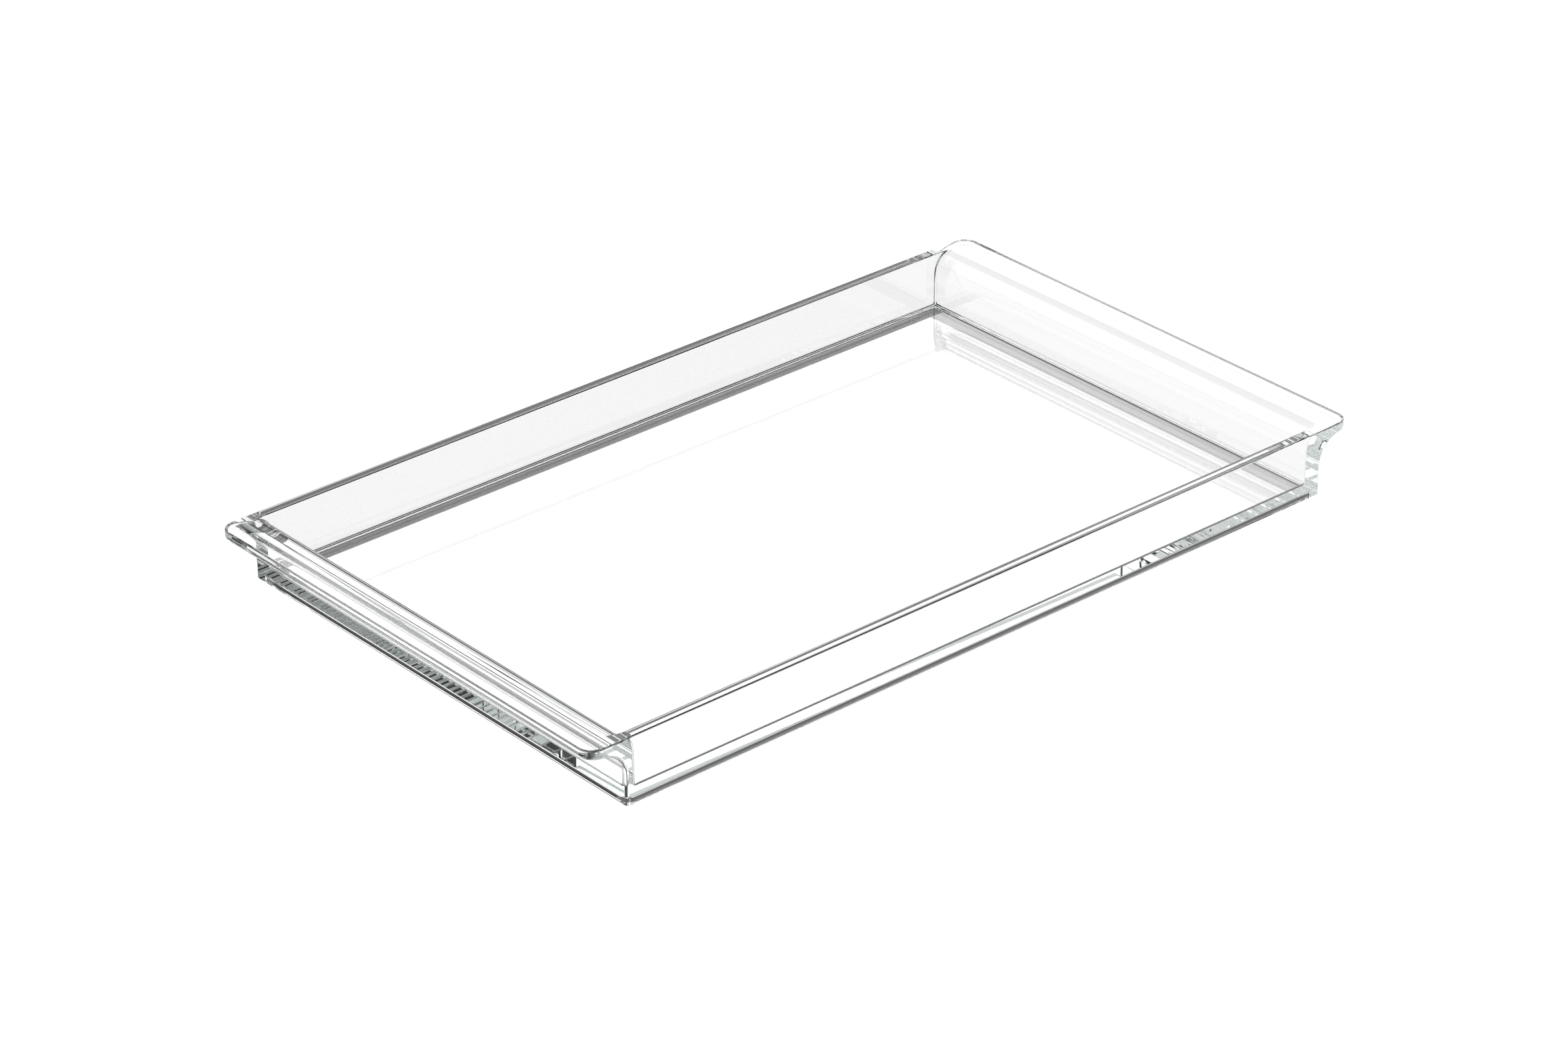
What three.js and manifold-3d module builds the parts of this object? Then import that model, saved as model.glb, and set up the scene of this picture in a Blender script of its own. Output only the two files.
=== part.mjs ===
// Clear vanity tray: one moulding with a flat floor, two straight long walls, and two end walls that
// rise and flare outwards into lips to lift it by. It stands on a rim that runs round under the floor.
// Millimetres. X runs along the tray, Y across it, Z up. The origin is the middle of the tray,
// level with the bottom of the foot rim.
import * as THREE from "three";
import { mergeVertices } from "three/addons/utils/BufferGeometryUtils.js";
import Module from "manifold-3d";

// Overall size
const OVERALL_LENGTH = 356; // lip tip to lip tip
const BASE_LENGTH = 326; // outside of the end walls, where they stand upright
const WIDTH = 205;
const HEIGHT = 26;

// Walls and floor
const SIDE_WALL = 4.4;
const END_WALL = 4.9;
const FLOOR_TOP = 4.5; // height of the surface that things stand on
const INNER_FILLET = 1.4; // between the floor and the walls

// Flared ends
const LIP_THICKNESS = 4.2;
const FLARE_OUTSIDE_RADIUS = 10; // hollow bend under the lip
const FLARE_INSIDE_RADIUS = 8.5; // rounded bend on the inside of the tray
const LIP_CORNER_RADIUS = 6; // corners of the lips, seen from above
const LIP_UNDER_EDGE_RADIUS = 1.8;
const LIP_TOP_EDGE_RADIUS = 0.6;

// Foot rim
const FOOT_HEIGHT = 1.8; // the floor's underside is this far above the table
const FOOT_WIDTH = 2.6;
const FOOT_CORNER_RADIUS = 2.5;

const BEND_STEPS = 16; // straight steps in a quarter turn of a large bend
const OPENING_CLEARANCE = 2; // how far a cutter runs past the face it opens

const wasm = await Module();
wasm.setup();

// A closed geometry as a solid that can be joined and cut.
function toSolid(geometry) {
  const bare = geometry.index ? geometry.toNonIndexed() : geometry.clone();
  bare.deleteAttribute("normal");
  bare.deleteAttribute("uv");
  const merged = mergeVertices(bare, 1e-3);
  return new wasm.Manifold(
    new wasm.Mesh({
      numProp: 3,
      vertProperties: merged.attributes.position.array,
      triVerts: new Uint32Array(merged.index.array),
    }),
  );
}

function toGeometry(solid) {
  const { vertProperties, triVerts } = solid.getMesh();
  const geometry = new THREE.BufferGeometry();
  geometry.setAttribute("position", new THREE.BufferAttribute(vertProperties, 3));
  geometry.setIndex(new THREE.BufferAttribute(triVerts, 1));
  const faceted = geometry.toNonIndexed();
  faceted.computeVertexNormals();
  return faceted;
}

function extrude(shape, depth) {
  return new THREE.ExtrudeGeometry(shape, { depth, bevelEnabled: false, curveSegments: BEND_STEPS });
}

// A shape drawn in X and Z, made into a prism of the given width, centred across the tray.
function prismAcross(shape, width) {
  return extrude(shape, width).rotateX(Math.PI / 2).translate(0, width / 2, 0);
}

// A shape drawn in Y and Z, made into a prism of the given length, centred along the tray.
function prismAlong(shape, length) {
  const turn = new THREE.Matrix4().makeBasis(
    new THREE.Vector3(0, 1, 0),
    new THREE.Vector3(0, 0, 1),
    new THREE.Vector3(1, 0, 0),
  );
  return extrude(shape, length).applyMatrix4(turn).translate(-length / 2, 0, 0);
}

function roundedRectangle(length, width, radius) {
  const x = length / 2 - radius;
  const y = width / 2 - radius;
  const shape = new THREE.Shape();
  shape.absarc(x, -y, radius, -Math.PI / 2, 0);
  shape.absarc(x, y, radius, 0, Math.PI / 2);
  shape.absarc(-x, y, radius, Math.PI / 2, Math.PI);
  shape.absarc(-x, -y, radius, Math.PI, 1.5 * Math.PI);
  return shape;
}

// The tray seen from the side, with the well filled in: upright ends that bend out into the lips.
function outsideProfile() {
  const base = BASE_LENGTH / 2;
  const tip = OVERALL_LENGTH / 2;
  const lipUnderside = HEIGHT - LIP_THICKNESS;
  const bend = FLARE_OUTSIDE_RADIUS;
  const under = LIP_UNDER_EDGE_RADIUS;
  const over = LIP_TOP_EDGE_RADIUS;
  const shape = new THREE.Shape();
  shape.moveTo(-base, 0);
  shape.lineTo(base, 0);
  shape.absarc(base + bend, lipUnderside - bend, bend, Math.PI, Math.PI / 2, true);
  shape.absarc(tip - under, lipUnderside + under, under, -Math.PI / 2, 0);
  shape.absarc(tip - over, HEIGHT - over, over, 0, Math.PI / 2);
  shape.absarc(-tip + over, HEIGHT - over, over, Math.PI / 2, Math.PI);
  shape.absarc(-tip + under, lipUnderside + under, under, Math.PI, 1.5 * Math.PI);
  shape.absarc(-base - bend, lipUnderside - bend, bend, Math.PI / 2, 0, true);
  shape.closePath();
  return shape;
}

// The well seen from the side: it opens out over the rounded inside of each lip.
function wellProfile() {
  const wall = BASE_LENGTH / 2 - END_WALL;
  const fillet = INNER_FILLET;
  const bend = FLARE_INSIDE_RADIUS;
  const top = HEIGHT + OPENING_CLEARANCE;
  const shape = new THREE.Shape();
  shape.moveTo(-wall + fillet, FLOOR_TOP);
  shape.absarc(wall - fillet, FLOOR_TOP + fillet, fillet, -Math.PI / 2, 0);
  shape.absarc(wall + bend, HEIGHT - bend, bend, Math.PI, Math.PI / 2, true);
  shape.lineTo(wall + bend, top);
  shape.lineTo(-wall - bend, top);
  shape.absarc(-wall - bend, HEIGHT - bend, bend, Math.PI / 2, 0, true);
  shape.absarc(-wall + fillet, FLOOR_TOP + fillet, fillet, Math.PI, 1.5 * Math.PI);
  return shape;
}

// The well seen from the end: straight walls with a fillet at the floor.
function wellSection() {
  const wall = WIDTH / 2 - SIDE_WALL;
  const fillet = INNER_FILLET;
  const top = HEIGHT + OPENING_CLEARANCE;
  const shape = new THREE.Shape();
  shape.moveTo(-wall + fillet, FLOOR_TOP);
  shape.absarc(wall - fillet, FLOOR_TOP + fillet, fillet, -Math.PI / 2, 0);
  shape.lineTo(wall, top);
  shape.lineTo(-wall, top);
  shape.absarc(-wall + fillet, FLOOR_TOP + fillet, fillet, Math.PI, 1.5 * Math.PI);
  return shape;
}

function envelope() {
  const side = toSolid(prismAcross(outsideProfile(), WIDTH));
  const plan = roundedRectangle(OVERALL_LENGTH, WIDTH, LIP_CORNER_RADIUS);
  const cutter = extrude(plan, HEIGHT + 2 * OPENING_CLEARANCE).translate(0, 0, -OPENING_CLEARANCE);
  return side.intersect(toSolid(cutter));
}

function well() {
  const lengthwise = toSolid(prismAcross(wellProfile(), WIDTH));
  const crosswise = toSolid(prismAlong(wellSection(), OVERALL_LENGTH));
  return lengthwise.intersect(crosswise);
}

function footRecess() {
  const plan = roundedRectangle(
    BASE_LENGTH - 2 * FOOT_WIDTH,
    WIDTH - 2 * FOOT_WIDTH,
    FOOT_CORNER_RADIUS,
  );
  const cutter = extrude(plan, FOOT_HEIGHT + OPENING_CLEARANCE);
  return toSolid(cutter.translate(0, 0, -OPENING_CLEARANCE));
}

const clearPlastic = new THREE.MeshStandardMaterial({
  color: 0xf4f8f7,
  roughness: 0.04,
  metalness: 0,
  transparent: true,
  opacity: 0.3,
});

const trayBody = new THREE.Mesh(
  toGeometry(envelope().subtract(well()).subtract(footRecess())),
  clearPlastic,
);
trayBody.name = "tray_body";

const vanityTray = new THREE.Group();
vanityTray.add(trayBody);

export default vanityTray;
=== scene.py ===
"""Looks of the clear vanity tray: one smooth moulding, meshed from the distances to its faces."""

import math

import bmesh
import bpy
import numpy as np
from mathutils import Matrix, Vector


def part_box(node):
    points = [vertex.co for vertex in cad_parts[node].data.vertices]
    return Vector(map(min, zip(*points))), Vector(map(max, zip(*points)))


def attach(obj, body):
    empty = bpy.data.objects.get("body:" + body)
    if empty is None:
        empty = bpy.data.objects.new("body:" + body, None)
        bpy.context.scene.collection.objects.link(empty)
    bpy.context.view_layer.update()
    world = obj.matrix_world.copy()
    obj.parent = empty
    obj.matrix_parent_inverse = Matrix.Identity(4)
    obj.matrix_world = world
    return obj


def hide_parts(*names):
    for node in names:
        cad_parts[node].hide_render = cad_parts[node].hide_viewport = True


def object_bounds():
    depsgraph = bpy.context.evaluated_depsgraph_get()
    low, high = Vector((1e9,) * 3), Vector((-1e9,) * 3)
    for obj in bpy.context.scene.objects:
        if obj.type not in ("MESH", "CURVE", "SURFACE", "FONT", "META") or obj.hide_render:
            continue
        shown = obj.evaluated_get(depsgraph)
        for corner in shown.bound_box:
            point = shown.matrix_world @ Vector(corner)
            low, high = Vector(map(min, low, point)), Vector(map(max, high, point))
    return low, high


MM = 0.001

# Sizes in millimetres, as in the CAD part.
BASE_LENGTH = 326
SIDE_WALL = 4.4
END_WALL = 4.9
FLOOR_TOP = 4.5
LIP_THICKNESS = 4.2
FLARE_OUTSIDE_RADIUS = 10
FLARE_INSIDE_RADIUS = 8.5
LIP_CORNER_RADIUS = 6
FOOT_HEIGHT = 1.8
FOOT_WIDTH = 2.6
FOOT_CORNER_RADIUS = 2.5

# Small roundings of the moulding.
INNER_FILLET = 1.6
WELL_CORNER_FILLET = 1.4
STANDING_EDGE = 1.2
LIP_UNDER_EDGE = 1.8
BOTTOM_EDGE = 0.5
TOP_EDGE = 0.7
RIM_INNER_EDGE = 0.6
FOOT_INNER_EDGE = 0.4
FOOT_FILLET = 0.5
STANDING_EDGE_ENDS = 8  # past the end wall, where the edge's radius starts to grow to the lip's
LIP_UNDER_EDGE_STARTS = 2  # before the tip, where it has the lip's radius
RIM_EDGE_EASE = 2  # over which the rim's inner edge fades out into the bend of the lip
FLAT_WITHIN = 0.02  # degrees: faces that turn less than this are joined

# The plastic.
REFRACTION = 1.49
FLOW_STRETCH = (0.5, 1.0, 1.0)
WAVE_SCALE = 18.0
WAVE_DETAIL = 1.0
WAVE_HEIGHT = 0.015 * MM
HAZE_SCALE = 60.0
HAZE_DETAIL = 4.0
HAZE_FROM = 0.45
HAZE_TO = 0.75
POLISH = 0.0
RUBBED = 0.012
PLASTIC_TINT = (0.0, 0.15, 0.12, 1)
PLASTIC_DENSITY = 0.9

# The light table. The camera sees it plain white; light through the plastic sees its shade.
TABLE_SIZE = 40  # metres
TABLE_GAP = 0.05 * MM
TABLE_ROUGHNESS = 0.9
TABLE_GLOW = 0.97
TABLE_SEEN = 1.08
# Shade on the table, in millimetres inside the tray's outer faces: where it starts and ends and the
# width of its soft edge, then what is left of the light.
FOOT_SHADE = (0.2, 3.3, 0.3, 0.3)
SIDE_SHADE = (3.3, 7.4, 0.4, 0.28)
RIGHT_SHADE = (2.9, 9.9, 0.5, 0.62)
LEFT_SHADE = (2.6, 5.0, 0.5, 0.12)
SIDE_SHADE_FADE = 0.5  # where the strip along a side stops short of the ends

# The studio, as light through the plastic sees it. The camera sees a plain backdrop.
STUDIO_DARK = 0.13
BACKDROP = 1.08
# Soft boxes: middle azimuth from the camera's heading (left is positive), half width, lowest and
# highest elevation, all in degrees, then brightness.
SOFT_BOXES = (
    (0, 32, 21, 39, 1.5),
    (91, 44, 14, 53, 1.25),
    (180, 30, 42, 62, 2.0),
    (0, 200, -5, 11, 0.9),
    (-94, 40, 11, 21, 0.9),
)
BOX_EDGE = 3  # degrees over which a soft box fades out

# The camera.
VIEW_HEADING = 48.956  # degrees from +X towards +Y that the camera looks
VIEW_DROP = 28.613  # degrees below the horizon
VIEW_ROLL = -0.193
VIEW_TARGET = (0.00985, 0.03023, 0.0)  # in base lengths
VIEW_DISTANCE = 5.64455  # in base lengths
LENS = 117.454
SENSOR_WIDTH = 36

DISPLAY_GAMMA = 0.56
BOUNCES = 64  # light is trapped in the walls for many turns


def filleted(a, b, radius):
    """Distance to two solids joined, with a hollow fillet between them."""
    near = np.hypot(np.maximum(radius - a, 0), np.maximum(radius - b, 0))
    return np.maximum(radius, np.minimum(a, b)) - near


def rounded(a, b, radius):
    """Distance to what two solids share, with a round along the edge."""
    near = np.hypot(np.maximum(radius + a, 0), np.maximum(radius + b, 0))
    return np.minimum(-radius, np.maximum(a, b)) + near


def eased(value, low, high):
    """0 up to low and 1 from high, with a smooth rise between."""
    t = np.clip((value - low) / (high - low), 0, 1)
    return t * t * (3 - 2 * t)


class Tray:
    """The tray's distance field, in millimetres. It is below zero inside the plastic."""

    def __init__(self, low, high):
        self.tip = (high.x - low.x) / 2 / MM
        self.side = (high.y - low.y) / 2 / MM
        self.height = (high.z - low.z) / MM
        self.end = BASE_LENGTH / 2

    def outside(self, x, y, z):
        plan = rounded(x - self.tip, y - self.side, LIP_CORNER_RADIUS)
        lip_underside = self.height - LIP_THICKNESS - z
        under = filleted(x - self.end, lip_underside, FLARE_OUTSIDE_RADIUS)
        towards_tip = eased(x, self.end + STANDING_EDGE_ENDS, self.tip - LIP_UNDER_EDGE_STARTS)
        edge = STANDING_EDGE + (LIP_UNDER_EDGE - STANDING_EDGE) * towards_tip
        shell = rounded(rounded(under, plan, edge), -z, BOTTOM_EDGE)
        return rounded(shell, z - self.height, TOP_EDGE)

    def inside(self, x, y, z):
        top = z - self.height
        bend = rounded(self.end - END_WALL - x, top, FLARE_INSIDE_RADIUS)
        walls = filleted(bend, self.side - SIDE_WALL - y, WELL_CORNER_FILLET)
        rim_edge = RIM_INNER_EDGE * eased(bend - top, 0, RIM_EDGE_EASE)
        return rounded(filleted(walls, z - FLOOR_TOP, INNER_FILLET), top, rim_edge)

    def underneath(self, x, y, z):
        recess = rounded(
            x - self.end + FOOT_WIDTH, y - self.side + FOOT_WIDTH, FOOT_CORNER_RADIUS
        )
        foot = filleted(-recess, FOOT_HEIGHT - z, FOOT_FILLET)
        return rounded(foot, -z, FOOT_INNER_EDGE)

    def field(self, points):
        x, y, z = np.abs(points[..., 0]), np.abs(points[..., 1]), points[..., 2]
        solid = np.maximum(self.outside(x, y, z), self.inside(x, y, z))
        return np.maximum(solid, self.underneath(x, y, z))

    def gradient(self, points, step=1e-4):
        slopes = []
        for axis in range(3):
            move = np.zeros(3)
            move[axis] = step
            slopes.append(self.field(points + move) - self.field(points - move))
        return np.stack(slopes, -1) / (2 * step)

    def settle(self, points, rounds=6):
        """Moves points near the surface onto it."""
        for _ in range(rounds):
            slope = self.gradient(points)
            steep = np.maximum((slope**2).sum(-1), 1e-6)
            points = points - slope * (self.field(points) / steep)[..., None]
        return points


def stops(*stretches):
    """Grid lines: each stretch is a start, an end and the gap between lines."""
    lines = []
    for start, end, gap in stretches:
        count = max(1, round((end - start) / gap))
        lines.append(np.linspace(start, end, count, endpoint=False))
    return np.concatenate(lines + [[stretches[-1][1]]])


def mirrored(lines):
    """The grid lines on both sides of the middle."""
    return np.concatenate([-lines[::-1], lines[lines > 0]])


def tray_grid(tray):
    """Lines are close together where the moulding turns, and far apart on its flats."""
    end, tip, side, top = tray.end, tray.tip, tray.side, tray.height
    x = stops(
        (0, end - 16, 14),
        (end - 16, end - 10, 2),
        (end - 10, end + 2.2, 0.2),
        (end + 2.2, tip - 6.2, 0.45),
        (tip - 6.2, tip - 2, 0.35),
        (tip - 2, tip + 0.6, 0.13),
    )
    y = stops(
        (0, side - 16, 14),
        (side - 16, side - 10, 2),
        (side - 10, side - 3.4, 0.25),
        (side - 3.4, side + 0.6, 0.13),
    )
    z = stops(
        (-0.4, 1.4, 0.13),
        (1.4, FLOOR_TOP - 0.4, 0.2),
        (FLOOR_TOP - 0.4, FLOOR_TOP + 1.8, 0.18),
        (FLOOR_TOP + 1.8, 11.2, 1.6),
        (11.2, top - LIP_THICKNESS - 0.6, 0.5),
        (top - LIP_THICKNESS - 0.6, top - LIP_THICKNESS + 2.2, 0.2),
        (top - LIP_THICKNESS + 2.2, top - 0.7, 0.3),
        (top - 0.7, top + 0.4, 0.1),
    )
    return mirrored(x), mirrored(y), z


def surface_net(tray, lines):
    """A closed quad mesh of the field's zero surface: one vertex in each grid cell it crosses."""
    grid = np.stack(np.meshgrid(*lines, indexing="ij"), -1)
    value = tray.field(grid)
    inside = value < 0
    cells = tuple(n - 1 for n in value.shape)
    total = np.zeros(cells + (3,))
    count = np.zeros(cells)
    edges = []
    for axis in range(3):
        first, last = [slice(None)] * 3, [slice(None)] * 3
        first[axis], last[axis] = slice(0, -1), slice(1, None)
        first, last = tuple(first), tuple(last)
        crosses = inside[first] != inside[last]
        edges.append((crosses, inside[first]))
        where = np.nonzero(crosses)
        a, b = value[first][where], value[last][where]
        share = (a / (a - b))[:, None]
        point = grid[first][where] * (1 - share) + grid[last][where] * share
        others = [k for k in range(3) if k != axis]
        for back_1 in (0, 1):
            for back_2 in (0, 1):
                cell = list(where)
                cell[others[0]] = cell[others[0]] - back_1
                cell[others[1]] = cell[others[1]] - back_2
                np.add.at(total, tuple(cell), point)
                np.add.at(count, tuple(cell), 1)
    used = count > 0
    number = np.full(cells, -1)
    number[used] = np.arange(used.sum())
    points = tray.settle(total[used] / count[used][:, None])
    quads = []
    for axis, (crosses, leaves) in enumerate(edges):
        where = np.nonzero(crosses)
        second, third = (axis + 1) % 3, (axis + 2) % 3
        corners = []
        for back_2, back_3 in ((0, 0), (1, 0), (1, 1), (0, 1)):
            cell = list(where)
            cell[second] = cell[second] - back_2
            cell[third] = cell[third] - back_3
            corners.append(number[tuple(cell)])
        quad = np.stack(corners, -1)
        inward = ~leaves[where]
        quad[inward] = quad[inward][:, ::-1]
        quads.append(quad)
    return points, np.concatenate(quads)


def build_tray(low, high):
    """The tray as one mesh that fills the given box, with the exact normals of its faces."""
    tray = Tray(low, high)
    points, quads = surface_net(tray, tray_grid(tray))
    mesh = bpy.data.meshes.new("tray")
    mesh.from_pydata(points.tolist(), [], quads.tolist())
    merge_flats(mesh)
    count = len(mesh.vertices)
    flat = np.empty(count * 3)
    mesh.vertices.foreach_get("co", flat)
    points = flat.reshape(-1, 3)
    normals = tray.gradient(points)
    normals /= np.linalg.norm(normals, axis=1)[:, None]
    mesh.vertices.foreach_set("co", (points * MM).ravel())
    mesh.shade_smooth()
    mesh.normals_split_custom_set_from_vertices(normals.tolist())
    mesh.update()
    piece = bpy.data.objects.new("tray", mesh)
    bpy.context.scene.collection.objects.link(piece)
    return piece


def merge_flats(mesh):
    """Joins the quads that lie in one plane, so that only the rounds keep fine faces."""
    work = bmesh.new()
    work.from_mesh(mesh)
    bmesh.ops.dissolve_limit(
        work,
        angle_limit=math.radians(FLAT_WITHIN),
        use_dissolve_boundaries=False,
        verts=work.verts[:],
        edges=work.edges[:],
    )
    bmesh.ops.triangulate(work, faces=[f for f in work.faces if len(f.verts) > 4])
    work.to_mesh(mesh)
    work.free()


class Nodes:
    """Short ways to add nodes to one material or world."""

    def __init__(self, owner):
        owner.use_nodes = True
        self.tree = owner.node_tree
        self.tree.nodes.clear()

    def add(self, kind, inputs=None, **settings):
        node = self.tree.nodes.new(kind)
        for name, value in settings.items():
            setattr(node, name, value)
        for name, value in (inputs or {}).items():
            self.feed(node.inputs[name], value)
        return node

    def feed(self, socket, value):
        if isinstance(value, bpy.types.NodeSocket):
            self.tree.links.new(value, socket)
        else:
            socket.default_value = value

    def calc(self, operation, *values, clamp=False):
        node = self.add("ShaderNodeMath", operation=operation, use_clamp=clamp)
        for socket, value in zip(node.inputs, values):
            self.feed(socket, value)
        return node.outputs["Value"]

    def above(self, value, low, edge):
        """0 below low, rising to 1 over the edge's width."""
        return self.calc("DIVIDE", self.calc("SUBTRACT", value, low - edge / 2), edge, clamp=True)

    def below(self, value, high, edge):
        """1 below high, falling to 0 over the edge's width."""
        return self.calc("DIVIDE", self.calc("SUBTRACT", high + edge / 2, value), edge, clamp=True)

    def within(self, value, low, high, edge):
        """1 between low and high, falling to 0 on both sides."""
        return self.calc(
            "MINIMUM", self.above(value, low, edge), self.below(value, high, edge)
        )


def clear_plastic():
    """Polished clear plastic: faint flow waves, slightly rubbed patches and a tint in depth."""
    material = bpy.data.materials.new("clear_plastic")
    nodes = Nodes(material)
    place = nodes.add("ShaderNodeTexCoord").outputs["Object"]
    along = nodes.add("ShaderNodeMapping", {"Vector": place, "Scale": FLOW_STRETCH})
    waves = nodes.add(
        "ShaderNodeTexNoise",
        {"Vector": along.outputs["Vector"], "Scale": WAVE_SCALE, "Detail": WAVE_DETAIL},
    )
    relief = nodes.add(
        "ShaderNodeBump", {"Height": waves.outputs["Fac"], "Strength": 1.0, "Distance": WAVE_HEIGHT}
    )
    haze = nodes.add(
        "ShaderNodeTexNoise", {"Vector": place, "Scale": HAZE_SCALE, "Detail": HAZE_DETAIL}
    )
    roughness = nodes.add(
        "ShaderNodeMapRange",
        {
            "Value": haze.outputs["Fac"],
            "From Min": HAZE_FROM,
            "From Max": HAZE_TO,
            "To Min": POLISH,
            "To Max": RUBBED,
        },
    )
    plastic = nodes.add(
        "ShaderNodeBsdfPrincipled",
        {
            "Base Color": (1, 1, 1, 1),
            "IOR": REFRACTION,
            "Transmission Weight": 1.0,
            "Roughness": roughness.outputs["Result"],
            "Normal": relief.outputs["Normal"],
        },
    )
    depth = nodes.add(
        "ShaderNodeVolumeAbsorption", {"Color": PLASTIC_TINT, "Density": PLASTIC_DENSITY}
    )
    nodes.add(
        "ShaderNodeOutputMaterial",
        {"Surface": plastic.outputs["BSDF"], "Volume": depth.outputs["Volume"]},
    )
    return material


def table_light(nodes, side_face):
    """The table's glow, dimmed along the inside of the tray's foot rim and under its ends."""
    calc = nodes.calc
    place = nodes.add("ShaderNodeNewGeometry").outputs["Position"]
    axes = nodes.add("ShaderNodeSeparateXYZ", {"Vector": place}).outputs
    x, y = (calc("DIVIDE", axes[k], MM) for k in "XY")
    right = calc("SUBTRACT", BASE_LENGTH / 2, x)
    left = calc("ADD", x, BASE_LENGTH / 2)
    end = calc("MINIMUM", right, left)
    side = calc("SUBTRACT", side_face, calc("ABSOLUTE", y))
    rim = calc("MINIMUM", end, side)
    side_start, side_stop, side_edge, _ = SIDE_SHADE
    off_the_ends = nodes.above(end, side_start, SIDE_SHADE_FADE)
    off_the_sides = nodes.above(side, side_stop, side_edge)
    strips = (
        (rim, FOOT_SHADE, 1.0),
        (side, SIDE_SHADE, off_the_ends),
        (right, RIGHT_SHADE, off_the_sides),
        (left, LEFT_SHADE, off_the_sides),
    )
    light = TABLE_GLOW
    for distance, (start, stop, edge, remains), where in strips:
        shade = calc("MULTIPLY", nodes.within(distance, start, stop, edge), where)
        kept = calc("SUBTRACT", 1.0, calc("MULTIPLY", shade, 1 - remains))
        light = calc("MULTIPLY", light, kept)
    return light


def floor(side_face):
    """A white light table. side_face is the distance from its middle to the tray's long sides."""
    bpy.ops.mesh.primitive_plane_add(size=TABLE_SIZE, location=(0, 0, -TABLE_GAP))
    ground = bpy.context.object
    ground.name = "floor"
    material = bpy.data.materials.new("floor_white")
    nodes = Nodes(material)
    seen = nodes.add("ShaderNodeLightPath").outputs["Is Camera Ray"]
    seen_glow = nodes.calc("MULTIPLY", seen, TABLE_SEEN)
    light = nodes.calc("MAXIMUM", table_light(nodes, side_face), seen_glow)
    white = nodes.add(
        "ShaderNodeBsdfPrincipled",
        {
            "Base Color": (0.0, 0.0, 0.0, 1),
            "Roughness": TABLE_ROUGHNESS,
            "Specular IOR Level": 0.0,
            "Emission Color": (1, 1, 1, 1),
            "Emission Strength": light,
        },
    )
    nodes.add("ShaderNodeOutputMaterial", {"Surface": white.outputs["BSDF"]})
    ground.data.materials.append(material)


def studio():
    """Soft boxes on a dark ground, and a plain white backdrop for the camera."""
    world = bpy.data.worlds.new("studio")
    bpy.context.scene.world = world
    nodes = Nodes(world)
    calc = nodes.calc
    direction = nodes.add("ShaderNodeTexCoord").outputs["Generated"]
    axes = nodes.add("ShaderNodeSeparateXYZ", {"Vector": direction}).outputs
    elevation = calc("DEGREES", calc("ARCSINE", axes["Z"]))
    azimuth = calc("DEGREES", calc("ARCTAN2", axes["Y"], axes["X"]))
    light = STUDIO_DARK
    for middle, half, low, high, brightness in SOFT_BOXES:
        turned = calc("SUBTRACT", azimuth, VIEW_HEADING + middle)
        off = calc("ABSOLUTE", calc("WRAP", turned, 180.0, -180.0))
        tall = nodes.within(elevation, low, high, BOX_EDGE)
        box = calc("MULTIPLY", tall, nodes.below(off, half, BOX_EDGE))
        light = calc("ADD", light, calc("MULTIPLY", box, brightness))
    seen = nodes.add("ShaderNodeLightPath").outputs["Is Camera Ray"]
    hidden = calc("SUBTRACT", 1.0, seen)
    light = calc("ADD", calc("MULTIPLY", light, hidden), calc("MULTIPLY", seen, BACKDROP))
    shine = nodes.add("ShaderNodeBackground", {"Color": (1, 1, 1, 1), "Strength": light})
    nodes.add("ShaderNodeOutputWorld", {"Surface": shine.outputs["Background"]})


def photo_camera():
    """The camera that matches the reference view."""
    heading, drop, roll = (
        math.radians(a) for a in (VIEW_HEADING, VIEW_DROP, VIEW_ROLL)
    )
    forward = Vector(
        (
            math.cos(drop) * math.cos(heading),
            math.cos(drop) * math.sin(heading),
            -math.sin(drop),
        )
    )
    level = forward.cross(Vector((0, 0, 1))).normalized()
    above = level.cross(forward)
    right = level * math.cos(roll) + above * math.sin(roll)
    up = -level * math.sin(roll) + above * math.cos(roll)
    base = BASE_LENGTH * MM
    place = Vector(VIEW_TARGET) * base - forward * (VIEW_DISTANCE * base)
    data = bpy.data.cameras.new("camera")
    data.lens = LENS
    data.sensor_width = SENSOR_WIDTH
    camera = bpy.data.objects.new("camera", data)
    turn = Matrix((right, up, -forward)).transposed().to_4x4()
    camera.matrix_world = Matrix.Translation(place) @ turn
    bpy.context.scene.collection.objects.link(camera)
    bpy.context.scene.camera = camera


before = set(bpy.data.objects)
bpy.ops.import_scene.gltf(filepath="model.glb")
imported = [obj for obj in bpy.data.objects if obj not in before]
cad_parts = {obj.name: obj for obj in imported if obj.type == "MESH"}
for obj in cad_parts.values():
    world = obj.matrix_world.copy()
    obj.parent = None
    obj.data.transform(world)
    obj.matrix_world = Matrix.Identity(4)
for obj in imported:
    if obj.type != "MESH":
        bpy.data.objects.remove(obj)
cad_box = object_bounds()
tray_piece = build_tray(*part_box("tray_body"))
tray_piece.data.materials.append(clear_plastic())
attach(tray_piece, "root")
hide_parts("tray_body")
floor(cad_box[1].y / MM)
studio()
photo_camera()
scene = bpy.context.scene
scene.view_settings.view_transform = "Standard"
scene.view_settings.gamma = DISPLAY_GAMMA
scene.cycles.use_denoising = True
scene.cycles.denoising_input_passes = "RGB"
scene.cycles.max_bounces = BOUNCES
scene.cycles.transmission_bounces = BOUNCES
scene.cycles.glossy_bounces = BOUNCES
